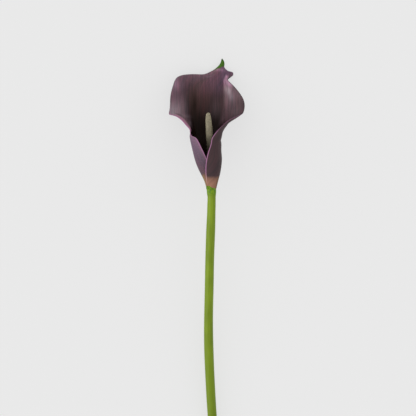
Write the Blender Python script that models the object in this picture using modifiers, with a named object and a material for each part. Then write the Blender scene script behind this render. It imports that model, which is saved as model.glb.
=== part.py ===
"""Calla lily: one cut flower lying on a surface, in metres, +Z up.

The flower is drawn about the foot of its spathe: X across, Y along the flower towards its tip, Z up out of
the open funnel. An empty carries it to its place, resting on z = 0 about the middle of its box.
Angles round the funnel are measured from its lowest line, growing towards +X, so 180 degrees is its top.
"""

from math import cos, radians, sin

import bmesh
import bpy
import numpy as np

MM = 0.001

# Place of the spathe's foot in the finished object
FOOT = (4.0 * MM, 120.3 * MM, 40.2 * MM)

# Spathe: the rolled leaf
SPATHE_THICKNESS = 1.0 * MM
LAP_STEP = 1.75  # mm the roll grows in a full turn, so that its lapped edges keep a gap
ROWS_ALONG = 46
COLUMNS_ACROSS = 38

# Spadix: the spike in the funnel
SPADIX_SIDES = 20
SPADIX_FOOT = 3.9  # mm

# Stem
STEM_SIDES = 20
STEM_RINGS = 34
COLLAR_POINTS = 3  # how many of the stem's points shape its collar
BOSS_RADIUS = 2.8  # mm
BOSS_TOP = 3.4  # mm
BOSS_SHOULDER = 0.05  # mm the boss's foot stands above the collar

# Colours and finishes: red, green, blue, roughness
FINISHES = {
    "spathe": (0.075, 0.040, 0.055, 0.45),
    "spadix": (0.270, 0.235, 0.150, 0.70),
    "stem": (0.175, 0.255, 0.035, 0.50),
}

# Funnel below its mouth, in mm: height, centre across, radius
FUNNEL = (
    (-1.0, -0.3, 4.1),
    (2.3, -0.4, 4.6),
    (7.8, -0.7, 6.25),
    (13.3, -1.35, 8.3),
    (18.8, -2.2, 10.15),
    (24.3, -2.95, 11.6),
    (30.0, -3.8, 12.4),
    (36.0, -4.75, 12.85),
    (43.0, -5.6, 13.65),
    (52.0, -5.8, 14.7),
)

# Hoops of the lapped funnel: height in mm at the left edge, the back and the right edge, then the angles
# of its left and right edges
HOOPS = (
    (0.0, 0.0, 0.0, -186, 225),
    (6.0, 6.0, 6.0, -186, 218),
    (13.0, 13.0, 13.0, -185, 206.5),
    (20.5, 20.5, 20.5, -181, 195),
    (28.8, 28.5, 28.0, -172, 184),
    (38.4, 36.0, 35.0, -158, 171),
    (46.3, 43.0, 41.0, -139, 160),
)

# Open limb, in mm, from the mouth to the tip. Each row crosses the leaf by the same nine lines:
# left edge, left fold, left lobe, left valley, midrib, right valley, right lobe, right fold, right edge
LIMB = (
    ((-18.9, 48.4, 3.5), (-19.5, 49.0, -2), (-18.2, 48.6, -8), (-13.7, 48, -13.4), (-5.5, 48, -15.0),
     (2.1, 47.5, -13.2), (7.6, 47, -5), (8.0, 46.5, 5.3), (0.7, 46.3, 13.2)),
    ((-20.3, 54.0, 0.8), (-18.9, 54.7, 0.8), (-18.8, 53.4, -6.5), (-14.3, 52.5, -14.4), (-5.2, 52.3, -15.9),
     (4.0, 52, -13.9), (9.0, 51.5, -4.7), (9.3, 51.7, 5.1), (4.7, 51.9, 12.3)),
    ((-22.8, 56.9, 0.6), (-21.1, 58.2, 1.1), (-20.1, 57, -5.3), (-15, 55.7, -14.8), (-5, 55.7, -16.2),
     (5.6, 55.6, -14.6), (10.6, 54.9, -4.6), (11.2, 54.9, 4.9), (7.8, 55.3, 10.9)),
    ((-25.8, 60.6, 0.0), (-23.7, 62.1, 1.1), (-22, 60.4, -5), (-15.7, 58.8, -15.4), (-5, 59, -16.6),
     (6.6, 59, -15.6), (12.2, 57.9, -5), (13.3, 57.4, 4.3), (10.8, 58.1, 9.3)),
    ((-32.8, 66.1, -0.6), (-30.8, 67.1, 0.2), (-25.2, 64.9, -5.6), (-16.3, 63, -16.8), (-4.7, 63.3, -17.6),
     (7.7, 62.6, -16.5), (14.8, 61.2, -5.4), (16.5, 60.9, 3.3), (15.6, 61.9, 7.2)),
    ((-38.7, 67.6, -1.6), (-35.8, 69.6, -1.6), (-28, 69, -6.5), (-16.8, 67, -18), (-4.5, 67.5, -18.6),
     (8.8, 66, -17.3), (18.6, 65.0, -6), (23.4, 65.0, 2.0), (22.0, 65.4, 4.6)),
    ((-36.8, 74, -10), (-37.4, 77, -6), (-29.8, 76, -10), (-17, 74.5, -20.6), (-3.5, 75, -20.6),
     (10.4, 74, -20), (21.8, 72.5, -8.5), (28.9, 71.6, -2), (28.4, 68.6, -0.5)),
    ((-35.8, 81, -20), (-37.1, 86.3, -12.5), (-30.0, 84.5, -15), (-17, 82.5, -23), (-3.2, 83, -22.6),
     (10.8, 82, -23), (21.3, 80.5, -12.5), (29.5, 79.7, -6.5), (27.8, 75.5, -14)),
    ((-33.4, 88, -32), (-34.6, 96.6, -20.5), (-27.5, 93, -21), (-15.5, 90.5, -25), (-2.5, 91, -25),
     (11, 89.5, -25.5), (19.3, 88.5, -18), (25.7, 87.6, -14.5), (23.6, 82, -28)),
    ((-27.5, 94.5, -39), (-29.6, 103.9, -27.6), (-21.5, 99.4, -27), (-11.5, 96.8, -28), (-0.8, 97.5, -28.2),
     (11.0, 95.0, -29.0), (15.3, 95.4, -25.0), (19.0, 95.8, -23.5), (16.2, 91, -38)),
    ((-17.5, 98.5, -39.9), (-18.2, 105.6, -32), (-12.5, 103.0, -30), (-5, 101.5, -30), (2.5, 102.2, -30.4),
     (11.0, 99.6, -32.0), (13.4, 100.0, -30.6), (14.9, 100.4, -31.6), (12.4, 97.4, -39.6)),
    ((-11.5, 100.4, -39.9), (-12.5, 105.6, -33.2), (-7.6, 103.9, -31.2), (-1.6, 103.4, -31),
     (4.0, 104.2, -31.3), (11.2, 102.4, -33.0), (13.8, 102.7, -32.8), (15.6, 103.2, -34.0),
     (15.2, 101.9, -38.4)),
    ((-5.0, 102.6, -39.6), (-6.0, 106.1, -34.8), (-2.2, 105.2, -32.8), (2.2, 105.7, -32.3),
     (6.0, 107.0, -32.4), (11.6, 105.6, -33.9), (15.6, 106.0, -34.0), (19.6, 108.0, -34.6),
     (20.3, 105.9, -36.2)),
    ((-1.2, 104.9, -39.0), (-1.6, 108.0, -35.4), (1.2, 107.8, -33.6), (4.2, 108.4, -33.0),
     (7.2, 109.2, -32.9), (10.8, 108.4, -33.8), (13.5, 108.4, -34.2), (15.9, 108.9, -35.0),
     (16.3, 107.7, -37.0)),
    ((2.5, 107, -38.5), (2.5, 110.1, -36), (4.4, 110.3, -34.5), (6.1, 111.0, -33.7), (8.2, 111.6, -33.4),
     (9.8, 111.7, -33.6), (10.9, 112.0, -34.2), (12.1, 112.1, -35.2), (12.4, 111.1, -36.8)),
    ((7.2, 113.2, -36.6), (7.2, 114.2, -35.6), (7.9, 114.8, -34.3), (9.0, 115.1, -33.6), (10.0, 115.3, -33.4),
     (10.9, 115.1, -33.6), (11.4, 114.8, -34.2), (11.6, 114.4, -35.2), (11.4, 113.7, -36.2)),
    ((9.1, 117.0, -35.0), (9.1, 117.4, -34.5), (9.4, 117.7, -33.9), (9.9, 118.0, -33.5), (10.4, 118.1, -33.3),
     (10.9, 118.0, -33.4), (11.3, 117.8, -33.8), (11.5, 117.4, -34.4), (11.3, 117.1, -35.0)),
    ((9.8, 120.7, -33.2),) * 9,
)
LINES = (0.0, 0.10, 0.22, 0.36, 0.50, 0.64, 0.78, 0.90, 1.0)  # where the nine lines stand across the leaf

# Spadix, in mm: distance along it, centre across, radius
SPADIX = (
    (0.0, 0.0, 1.5),
    (0.3, 0.0, 2.3),
    (3.0, -0.1, 2.7),
    (11.0, -0.5, 2.95),
    (28.0, -1.3, 3.1),
    (44.0, -2.0, 3.1),
    (52.0, -2.35, 3.02),
    (57.5, -2.75, 2.82),
    (61.0, -2.9, 2.55),
    (63.4, -2.95, 2.15),
    (65.0, -2.95, 1.4),
    (65.8, -2.95, 0.35),
)

# Stem, in mm: points of its centre line, then its radius there
STEM = (
    (0.0, -0.4, 0.0, 4.55),
    (0.0, -2.4, 0.0, 4.5),
    (0.1, -5.2, -0.2, 4.0),
    (0.1, -12.0, -0.9, 3.8),
    (-0.1, -20.0, -2.1, 3.85),
    (-0.6, -36.0, -4.3, 4.1),
    (-1.5, -62.0, -8.6, 4.1),
    (-2.1, -92.0, -13.9, 4.15),
    (-2.7, -125.0, -19.6, 4.15),
    (-2.3, -152.0, -23.8, 4.3),
    (-1.1, -180.0, -27.5, 4.25),
    (0.4, -206.0, -30.4, 4.25),
    (2.7, -236.0, -33.1, 4.3),
    (5.3, -266.0, -34.9, 4.3),
    (8.2, -296.0, -35.7, 4.35),
    (11.4, -328.0, -35.8, 4.4),
    (14.8, -361.0, -35.8, 4.4),
)


def smooth_curve(knots, values, places):
    """Read a natural cubic curve through values, given at knots, at the places."""
    knots = np.asarray(knots, float)
    values = np.asarray(values, float)
    flat = values.reshape(len(knots), -1)
    count = len(knots)
    step = np.diff(knots)
    system = np.eye(count)
    turn = np.zeros_like(flat)
    for i in range(1, count - 1):
        system[i, i - 1 : i + 2] = step[i - 1], 2 * (step[i - 1] + step[i]), step[i]
        turn[i] = 6 * ((flat[i + 1] - flat[i]) / step[i] - (flat[i] - flat[i - 1]) / step[i - 1])
    bend = np.linalg.solve(system, turn)
    places = np.asarray(places, float)
    k = np.clip(np.searchsorted(knots, places, side="right") - 1, 0, count - 2)
    before = (places - knots[k])[:, None]
    after = (knots[k + 1] - places)[:, None]
    span = step[k][:, None]
    bowed = (bend[k] * after**3 + bend[k + 1] * before**3) / (6 * span)
    from_lower = (flat[k] / span - bend[k] * span / 6) * after
    from_upper = (flat[k + 1] / span - bend[k + 1] * span / 6) * before
    return (bowed + from_lower + from_upper).reshape((len(places),) + values.shape[1:])


def hoop_points(left_height, back_height, right_height, left_angle, right_angle):
    """Points of one hoop of the lapped funnel on the nine lines, in mm."""
    heights, centres, radii = np.array(FUNNEL).T
    points = []
    for line in LINES:
        angle = left_angle + (right_angle - left_angle) * line
        edge_height, edge_angle = (left_height, left_angle) if angle < 0 else (right_height, right_angle)
        height = back_height + (edge_height - back_height) * (angle / edge_angle) ** 2
        centre = smooth_curve(heights, centres, [height])[0]
        radius = smooth_curve(heights, radii, [height])[0] + LAP_STEP * angle / 360
        points.append((centre + radius * sin(radians(angle)), height, -radius * cos(radians(angle))))
    return points


def leaf_surface(columns, rows):
    """Grid of points over the open leaf, in mm: rows from foot to tip, columns from left to right edge."""
    guides = np.array([hoop_points(*hoop) for hoop in HOOPS] + list(LIMB), float)
    lengths = np.linalg.norm(np.diff(guides, axis=0), axis=2).mean(axis=1)
    stations = np.concatenate([[0.0], np.cumsum(lengths)])
    across = np.array([smooth_curve(LINES, row, np.linspace(0, 1, columns + 1)) for row in guides])
    return smooth_curve(stations, across, np.linspace(0, stations[-1], rows + 1))


def collection(name):
    found = bpy.data.collections.new(name)
    bpy.context.scene.collection.children.link(found)
    return found


def material(name):
    red, green, blue, roughness = FINISHES[name]
    made = bpy.data.materials.new(name)
    made.use_nodes = True
    shader = made.node_tree.nodes["Principled BSDF"]
    shader.inputs["Base Color"].default_value = (red, green, blue, 1.0)
    shader.inputs["Roughness"].default_value = roughness
    shader.inputs["Metallic"].default_value = 0.0
    made.diffuse_color = (red, green, blue, 1.0)
    return made


def add_object(name, mesh, flower, parent):
    made = bpy.data.objects.new(name, mesh)
    flower.objects.link(made)
    made.parent = parent
    mesh.materials.append(material(name))
    mesh.shade_smooth()
    return made


def add_spathe(flower, parent):
    """The leaf: one open sheet lofted through its rows, then given its thickness."""
    grid = leaf_surface(COLUMNS_ACROSS, ROWS_ALONG) * MM
    shape = bmesh.new()
    points = [[shape.verts.new(point) for point in row] for row in grid.tolist()]
    for lower, upper in zip(points, points[1:]):
        for i in range(COLUMNS_ACROSS):
            shape.faces.new((lower[i], lower[i + 1], upper[i + 1], upper[i]))
    bmesh.ops.remove_doubles(shape, verts=shape.verts, dist=0.001 * MM)
    mesh = bpy.data.meshes.new("spathe")
    shape.to_mesh(mesh)
    shape.free()
    spathe = add_object("spathe", mesh, flower, parent)
    thickness = spathe.modifiers.new("thickness", "SOLIDIFY")
    thickness.thickness = SPATHE_THICKNESS
    thickness.offset = 0.0
    return spathe


def add_tube(name, path, sides, flower, parent):
    """A swept tube through path points of (x, y, z, radius) in mm, as one closed mesh."""
    curve = bpy.data.curves.new(name, "CURVE")
    curve.dimensions = "3D"
    curve.bevel_depth = MM
    curve.bevel_resolution = sides // 2 - 2
    curve.use_fill_caps = True
    spline = curve.splines.new("POLY")
    spline.points.add(len(path) - 1)
    for point, (x, y, z, radius) in zip(spline.points, path):
        point.co = (x * MM, y * MM, z * MM, 1.0)
        point.radius = radius
    guide = bpy.data.objects.new(name + "_guide", curve)
    flower.objects.link(guide)
    bpy.context.view_layer.update()
    evaluated = guide.evaluated_get(bpy.context.evaluated_depsgraph_get())
    mesh = bpy.data.meshes.new_from_object(evaluated)
    mesh.name = name
    bpy.data.objects.remove(guide)
    bpy.data.curves.remove(curve)
    shape = bmesh.new()
    shape.from_mesh(mesh)
    bmesh.ops.remove_doubles(shape, verts=shape.verts, dist=0.01 * MM)
    bmesh.ops.recalc_face_normals(shape, faces=shape.faces)
    shape.to_mesh(mesh)
    shape.free()
    mesh.materials.clear()
    return add_object(name, mesh, flower, parent)


def add_stem(flower, parent):
    """The stem, its collar under the spathe, and the boss that the spadix grows from."""
    boss = [(0.0, BOSS_TOP, 0.0, BOSS_RADIUS), (0.0, STEM[0][1] + BOSS_SHOULDER, 0.0, BOSS_RADIUS)]
    stem = np.array(STEM)
    lengths = np.linalg.norm(np.diff(stem[:, :3], axis=0), axis=1)
    stations = np.concatenate([[0.0], np.cumsum(lengths)])
    below_collar = np.linspace(stations[COLLAR_POINTS], stations[-1], STEM_RINGS)
    path = smooth_curve(stations, stem, np.concatenate([stations[:COLLAR_POINTS], below_collar]))
    return add_tube("stem", boss + path.tolist(), STEM_SIDES, flower, parent)


def add_spadix(flower, parent):
    """The spike: a slightly leaning turned shape with a rounded end."""
    path = [(centre, SPADIX_FOOT + along, 0.0, radius) for along, centre, radius in SPADIX]
    return add_tube("spadix", path, SPADIX_SIDES, flower, parent)


def main():
    for old in list(bpy.data.objects):
        bpy.data.objects.remove(old)
    flower = collection("calla_lily_flower")
    foot = bpy.data.objects.new("foot_of_spathe", None)
    foot.location = FOOT
    flower.objects.link(foot)
    add_stem(flower, foot)
    add_spathe(flower, foot)
    add_spadix(flower, foot)


main()
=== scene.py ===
"""Calla lily: the finished look of one cut flower, lying on a pale surface.

Three organs are made, each by its own operator: the stem with its collar, the spadix with its florets,
and the spathe, the one leaf rolled into a funnel. They are drawn in millimetres about the foot of the
spathe, X across, Y along the flower towards its tip and Z up out of the open funnel, and then set where
the frame has them. Angles round the funnel are measured from its lowest line, growing towards +X, so
180 degrees is its top.
"""

import math

import bmesh
import bpy
import numpy as np
from bpy.props import FloatProperty, FloatVectorProperty, IntProperty, PointerProperty
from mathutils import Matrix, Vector
from mathutils.kdtree import KDTree


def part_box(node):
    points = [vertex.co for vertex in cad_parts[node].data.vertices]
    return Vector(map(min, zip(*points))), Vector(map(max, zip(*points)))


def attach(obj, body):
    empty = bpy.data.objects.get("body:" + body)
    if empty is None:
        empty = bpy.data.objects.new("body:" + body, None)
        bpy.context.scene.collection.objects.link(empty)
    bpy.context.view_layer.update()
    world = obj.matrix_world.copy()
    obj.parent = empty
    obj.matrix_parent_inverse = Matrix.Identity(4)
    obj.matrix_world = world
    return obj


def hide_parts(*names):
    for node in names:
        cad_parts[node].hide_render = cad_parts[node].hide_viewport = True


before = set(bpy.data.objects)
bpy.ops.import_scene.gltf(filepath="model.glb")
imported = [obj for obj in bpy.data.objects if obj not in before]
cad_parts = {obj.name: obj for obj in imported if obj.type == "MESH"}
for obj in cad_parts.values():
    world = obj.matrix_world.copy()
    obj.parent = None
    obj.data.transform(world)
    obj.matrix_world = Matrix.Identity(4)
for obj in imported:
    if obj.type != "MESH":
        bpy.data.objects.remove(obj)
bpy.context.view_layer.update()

bl_info = {
    "name": "Calla Lily Flower",
    "version": (1, 0, 0),
    "blender": (4, 5, 0),
    "location": "View3D > Sidebar > Calla Lily",
    "description": "Builds a cut calla lily: spathe, spadix and stem, with their finishes and a plain studio",
    "category": "Add Mesh",
}

MM = 0.001

# Funnel below its mouth, in mm: height, centre across, radius
FUNNEL = (
    (-1.0, -0.3, 4.1),
    (2.3, -0.4, 4.6),
    (7.8, -0.7, 6.25),
    (13.3, -1.35, 8.3),
    (18.8, -2.2, 10.15),
    (24.3, -2.95, 11.6),
    (30.0, -3.8, 12.4),
    (36.0, -4.75, 12.85),
    (43.0, -5.6, 13.65),
    (52.0, -5.8, 14.7),
)

# Hoops of the lapped funnel: height in mm at the left edge, the back and the right edge, then the angles
# of its left and right edges in degrees
HOOPS = (
    (-0.3, -0.3, -0.3, -186, 225),
    (6.0, 6.0, 6.0, -186, 218),
    (13.0, 13.0, 13.0, -185, 206.5),
    (20.5, 20.5, 20.5, -181, 195),
    (28.8, 28.5, 28.0, -172, 184),
    (38.4, 36.0, 35.0, -158, 171),
    (46.3, 43.0, 41.0, -139, 160),
)

# Open limb, in mm, from the mouth to the tip. Each row crosses the leaf by the same nine lines:
# left edge, left fold, left lobe, left valley, midrib, right valley, right lobe, right fold, right edge
LIMB = (
    ((-18.9, 48.4, 3.5), (-19.5, 49, -2), (-18.2, 48.6, -8), (-13.7, 48, -13.4), (-5.5, 48, -15),
     (2.1, 47.5, -13.2), (7.6, 47, -5), (8, 46.5, 5.3), (0.7, 46.3, 13.2)),
    ((-20.3, 54, 0.8), (-18.9, 54.7, 0.8), (-18.8, 53.4, -6.5), (-14.3, 52.5, -14.4), (-5.2, 52.3, -15.9),
     (4, 52, -13.9), (9, 51.5, -4.7), (9.3, 51.7, 5.1), (4.7, 51.9, 12.3)),
    ((-22.8, 56.9, 0.6), (-21.1, 58.2, 1.1), (-20.1, 57, -5.3), (-15, 55.7, -14.8), (-5, 55.7, -16.2),
     (5.6, 55.6, -14.6), (10.6, 54.9, -4.6), (11.2, 54.9, 4.9), (7.8, 55.3, 10.9)),
    ((-25.8, 60.6, 0), (-23.7, 62.1, 1.1), (-22, 60.4, -5), (-15.7, 58.8, -15.4), (-5, 59, -16.6),
     (6.6, 59, -15.6), (12.2, 57.9, -5), (13.3, 57.4, 4.3), (10.8, 58.1, 9.3)),
    ((-32.8, 66.1, -0.6), (-30.8, 67.1, 0.2), (-25.2, 64.9, -5.6), (-16.3, 63, -16.8), (-4.7, 63.3, -17.6),
     (7.7, 62.6, -16.5), (14.8, 61.2, -5.4), (16.5, 60.9, 3.3), (15.6, 61.9, 7.2)),
    ((-38.7, 67.6, -1.6), (-35.8, 69.6, -1.6), (-28, 69, -6.5), (-16.8, 67, -18), (-4.5, 67.5, -18.6),
     (8.8, 66, -17.3), (18.6, 65, -6), (23.4, 65, 2), (22, 65.4, 4.6)),
    ((-36.8, 74, -10), (-37.4, 77, -6), (-29.8, 76, -10), (-17, 74.5, -20.6), (-3.5, 75, -20.6),
     (10.4, 74, -20), (21.8, 72.5, -8.5), (28.9, 71.6, -2), (28.4, 68.6, -0.5)),
    ((-35.8, 81, -20), (-37.1, 86.3, -12.5), (-30, 84.5, -15), (-17, 82.5, -23), (-3.2, 83, -22.6),
     (10.8, 82, -23), (21.3, 80.5, -12.5), (29.5, 79.7, -6.5), (27.8, 75.5, -14)),
    ((-33.4, 88, -32), (-34.6, 96.6, -20.5), (-27.5, 93, -21), (-15.5, 90.5, -25), (-2.5, 91, -25),
     (11, 89.5, -25.5), (19.3, 88.5, -18), (25.7, 87.6, -14.5), (23.6, 82, -28)),
    ((-27.5, 94.5, -39), (-29.6, 103.9, -27.6), (-21.5, 99.4, -27), (-11.5, 96.8, -28), (-0.8, 97.5, -28.2),
     (11, 95, -29), (15.3, 95.4, -25), (19, 95.8, -23.5), (16.2, 91, -38)),
    ((-17.5, 98.5, -39.9), (-18.2, 105.6, -32), (-12.5, 103, -30), (-5, 101.5, -30), (2.5, 102.2, -30.4),
     (11, 99.6, -32), (13.4, 100, -30.6), (14.9, 100.4, -31.6), (12.4, 97.4, -39.6)),
    ((-11.5, 100.4, -39.9), (-12.5, 105.6, -33.2), (-7.6, 103.9, -31.2), (-1.6, 103.4, -31),
     (4, 104.2, -31.3), (11.2, 102.4, -33), (13.8, 102.7, -32.8), (15.6, 103.2, -34),
     (15.2, 101.9, -38.4)),
    ((-5, 102.6, -39.6), (-6, 106.1, -34.8), (-2.2, 105.2, -32.8), (2.2, 105.7, -32.3),
     (6, 107, -32.4), (11.6, 105.6, -33.9), (15.6, 106, -34), (19.6, 108, -34.6),
     (20.3, 105.9, -36.2)),
    ((-1.2, 104.9, -39), (-1.6, 108, -35.4), (1.2, 107.8, -33.6), (4.2, 108.4, -33),
     (7.2, 109.2, -32.9), (10.8, 108.4, -33.8), (13.5, 108.4, -34.2), (15.9, 108.9, -35),
     (16.3, 107.7, -37)),
    ((2.5, 107, -38.5), (2.5, 110.1, -36), (4.4, 110.3, -34.5), (6.1, 111, -33.7), (8.2, 111.6, -33.4),
     (9.8, 111.7, -33.6), (10.9, 112, -34.2), (12.1, 112.1, -35.2), (12.4, 111.1, -36.8)),
    ((7.2, 113.2, -36.6), (7.2, 114.2, -35.6), (7.9, 114.8, -34.3), (9, 115.1, -33.6), (10, 115.3, -33.4),
     (10.9, 115.1, -33.6), (11.4, 114.8, -34.2), (11.6, 114.4, -35.2), (11.4, 113.7, -36.2)),
    ((9.1, 117, -35), (9.1, 117.4, -34.5), (9.4, 117.7, -33.9), (9.9, 118, -33.5), (10.4, 118.1, -33.3),
     (10.9, 118, -33.4), (11.3, 117.8, -33.8), (11.5, 117.4, -34.4), (11.3, 117.1, -35)),
    ((9.8, 120.7, -33.2),) * 9,
)
# Where the nine lines stand across the leaf
LINES = (0.0, 0.10, 0.22, 0.36, 0.50, 0.64, 0.78, 0.90, 1.0)
RIBS_ACROSS = 27  # lengthwise ribs from edge to edge of the leaf

# Spadix, in mm: distance along it, centre across, radius
SPADIX = (
    (0.0, 0.0, 1.5),
    (0.3, 0.0, 2.3),
    (3.0, -0.1, 2.7),
    (11.0, -0.5, 2.95),
    (28.0, -1.1, 3.2),
    (44.0, -1.75, 3.25),
    (52.0, -2.2, 3.1),
    (57.5, -2.7, 2.8),
    (61.0, -2.9, 2.55),
    (63.4, -2.95, 2.15),
    (65.0, -2.95, 1.4),
    (65.8, -2.95, 0.35),
)

# Stem, in mm: points of its centre line, then its radius there
STEM = (
    (0.0, -0.4, 0.0, 4.55),
    (0.0, -2.4, 0.0, 4.5),
    (0.1, -5.2, -0.2, 4.0),
    (0.1, -12.0, -0.9, 3.8),
    (-0.1, -20.0, -2.1, 3.85),
    (-0.6, -36.0, -4.3, 4.1),
    (-1.5, -62.0, -8.6, 4.1),
    (-2.1, -92.0, -13.9, 4.15),
    (-2.7, -125.0, -19.6, 4.15),
    (-2.3, -152.0, -23.8, 4.3),
    (-1.1, -180.0, -27.5, 4.25),
    (0.4, -206.0, -30.4, 4.25),
    (2.7, -236.0, -33.1, 4.3),
    (5.3, -266.0, -34.9, 4.3),
    (8.2, -296.0, -35.7, 4.35),
    (11.4, -328.0, -35.8, 4.4),
    (14.8, -361.0, -35.8, 4.4),
)
COLUMN_RADIUS = 4.0 * MM  # of the straight column that is bent into the stem
END_STEPS = 7  # insets of each end face of the column
LIP_TURN = 0.16  # radians from the top of the stem to the middle of the collar's lip
LIP_STAND = 0.55  # how far the lip stands off the foot of the spathe, in mm
KNOB = (2.84, 1.9)  # of the collar: its angle in radians and its place along the stem in mm
CUT_DISH = 1.3  # depth of the dished cut end, in mm
FLESH_SHARE = 0.97  # of the cut end's radius, where the skin begins

# Painted sheen, painted pink highlights and painted shade on the inside of the limb, in mm: middle
# across and along, half width, half length, strength
# painted sheen: pale patches where the satin of the lobes catches the light
PAINTED_SHEEN_PATCHES = (
    (-34.0, 71.5, 5.0, 7.5, 0.60),
    (-26.5, 73.0, 4.0, 9.0, 0.19),
    (-25.5, 66.2, 5.0, 1.8, 0.26),
    (-20.2, 60.0, 1.2, 3.0, 0.26),
    (14.0, 93.0, 2.2, 4.0, 0.58),
    (16.8, 90.5, 1.8, 4.4, 0.95),
    (18.6, 84.5, 2.0, 3.4, 0.40),
    (21.0, 70.0, 5.5, 3.6, 0.07),
    (3.0, 69.5, 7.0, 6.0, 0.045),
    (4.0, 77.0, 4.0, 7.0, 0.055),
)
# painted pink highlights at the crease and along the rim
PAINTED_HIGHLIGHT_PATCHES = (
    (13.7, 99.8, 2.0, 3.4, 1.0),
    (17.0, 97.0, 2.6, 2.8, 0.85),
    (13.9, 104.0, 0.8, 1.6, 0.70),
    (-33.0, 96.0, 3.0, 5.0, 0.28),
    (7.5, 110.3, 4.5, 1.2, 0.32),
)
# painted shade: darkening in the valleys, beside the crease and along the outer margins
PAINTED_SHADE_PATCHES = (
    (-15.4, 77.0, 2.0, 10.0, 0.78),
    (-20.5, 95.0, 6.0, 10.0, 0.40),
    (-27.0, 90.0, 4.5, 6.0, 0.20),
    (-20.0, 75.0, 4.5, 7.5, 0.20),
    (-37.2, 80.0, 0.9, 9.0, 0.40),
    (-11.0, 99.0, 7.0, 7.0, 0.18),
    (10.5, 90.0, 1.6, 10.0, 0.16),
    (12.9, 74.0, 1.2, 7.0, 0.20),
    (25.0, 80.0, 3.8, 6.0, 0.38),
    (29.6, 77.5, 2.2, 8.0, 0.30),
    (7.0, 101.0, 5.0, 8.0, 0.16),
    (13.2, 106.5, 2.2, 1.6, 0.20),
    (17.5, 106.5, 3.0, 2.0, 0.22),
)


# ---------------------------------------------------------------- shape helpers


def smooth_curve(knots, values, places):
    """Read a natural cubic curve through values, given at knots, at the places."""
    knots = np.asarray(knots, float)
    values = np.asarray(values, float)
    flat = values.reshape(len(knots), -1)
    count = len(knots)
    step = np.diff(knots)
    system = np.eye(count)
    turn = np.zeros_like(flat)
    for i in range(1, count - 1):
        system[i, i - 1 : i + 2] = step[i - 1], 2 * (step[i - 1] + step[i]), step[i]
        turn[i] = 6 * ((flat[i + 1] - flat[i]) / step[i] - (flat[i] - flat[i - 1]) / step[i - 1])
    bend = np.linalg.solve(system, turn)
    places = np.asarray(places, float)
    k = np.clip(np.searchsorted(knots, places, side="right") - 1, 0, count - 2)
    before = (places - knots[k])[:, None]
    after = (knots[k + 1] - places)[:, None]
    span = step[k][:, None]
    bowed = (bend[k] * after**3 + bend[k + 1] * before**3) / (6 * span)
    from_lower = (flat[k] / span - bend[k] * span / 6) * after
    from_upper = (flat[k + 1] / span - bend[k + 1] * span / 6) * before
    return (bowed + from_lower + from_upper).reshape((len(places),) + values.shape[1:])


def ramp(values, low, high):
    """Rise smoothly from 0 at low to 1 at high."""
    t = np.clip((np.asarray(values, float) - low) / (high - low), 0.0, 1.0)
    return t * t * (3 - 2 * t)


def unit(vectors):
    """Scale each vector to a length of 1."""
    return vectors / np.maximum(np.linalg.norm(vectors, axis=-1, keepdims=True), 1e-9)


def covered(points, axis=0):
    """Distance covered at each point from the first one along an axis of the grid."""
    steps = np.linalg.norm(np.diff(points, axis=axis), axis=-1)
    return np.insert(np.cumsum(steps, axis=axis), 0, 0.0, axis=axis)


def hoop_points(left_height, back_height, right_height, left_angle, right_angle, lap_step):
    """Points of one hoop of the lapped funnel on the nine lines, in mm."""
    heights, centres, radii = np.array(FUNNEL).T
    points = []
    for line in LINES:
        angle = left_angle + (right_angle - left_angle) * line
        edge_height, edge_angle = (left_height, left_angle) if angle < 0 else (right_height, right_angle)
        height = back_height + (edge_height - back_height) * (angle / edge_angle) ** 2
        centre = smooth_curve(heights, centres, [height])[0]
        growth = lap_step * float(ramp(height, -9.0, 9.0)) * angle / 360
        radius = smooth_curve(heights, radii, [height])[0] + growth
        turn = math.radians(angle)
        points.append((centre + radius * math.sin(turn), height, -radius * math.cos(turn)))
    return points


def leaf_surface(columns, rows, lap_step):
    """Grid of points over the open leaf, in mm: rows from foot to tip, columns from left to right edge."""
    guides = np.array([hoop_points(*hoop, lap_step) for hoop in HOOPS] + list(LIMB), float)
    stations = covered(guides).mean(axis=1)
    across = np.array([smooth_curve(LINES, row, np.linspace(0, 1, columns + 1)) for row in guides])
    return smooth_curve(stations, across, np.linspace(0, stations[-1], rows + 1))


def grid_normals(grid):
    """Unit normals of a grid of points, towards the inside of the funnel."""
    return unit(np.cross(np.gradient(grid, axis=1), np.gradient(grid, axis=0)))


def foot_place():
    """Where the foot of the spathe stands, in mm: the middle of the drawn leaf meets that of its solid."""
    low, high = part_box("spathe")
    points = leaf_surface(60, 80, bpy.context.scene.calla_spathe.lap_step / MM).reshape(-1, 3)
    drawn = (points.min(axis=0) + points.max(axis=0)) / 2
    return np.array((low + high) / 2) / MM - drawn


def start_piece(name, add_primitive, **options):
    """Add a primitive and name it, with nothing else selected."""
    if bpy.context.object and bpy.context.object.mode != "OBJECT":
        bpy.ops.object.mode_set(mode="OBJECT")
    bpy.ops.object.select_all(action="DESELECT")
    add_primitive(**options)
    bpy.context.object.name = name
    return bpy.context.object


def read_points(mesh):
    """The place of every vertex, one row each."""
    points = np.empty(len(mesh.vertices) * 3)
    mesh.vertices.foreach_get("co", points)
    return points.reshape(-1, 3)


def place_points(mesh, points):
    """Give every vertex its place, from points in mm about the foot of the spathe."""
    placed = (np.asarray(points) + foot_place()) * MM
    mesh.vertices.foreach_set("co", placed.astype(np.float32).ravel())
    mesh.update()


def set_attribute(mesh, name, values):
    """Store one number, or three, for every vertex."""
    values = np.asarray(values, np.float32)
    kind, key = ("FLOAT", "value") if values.ndim == 1 else ("FLOAT_VECTOR", "vector")
    mesh.attributes.new(name, kind, "POINT").data.foreach_set(key, values.ravel())


def finish_piece(piece, node, material):
    """Smooth, painted and riding: the last step of every organ."""
    piece.data.materials.clear()
    piece.data.materials.append(material)
    piece.data.shade_smooth()
    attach(piece, "root")
    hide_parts(node)


# ---------------------------------------------------------------- shader helpers


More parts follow.
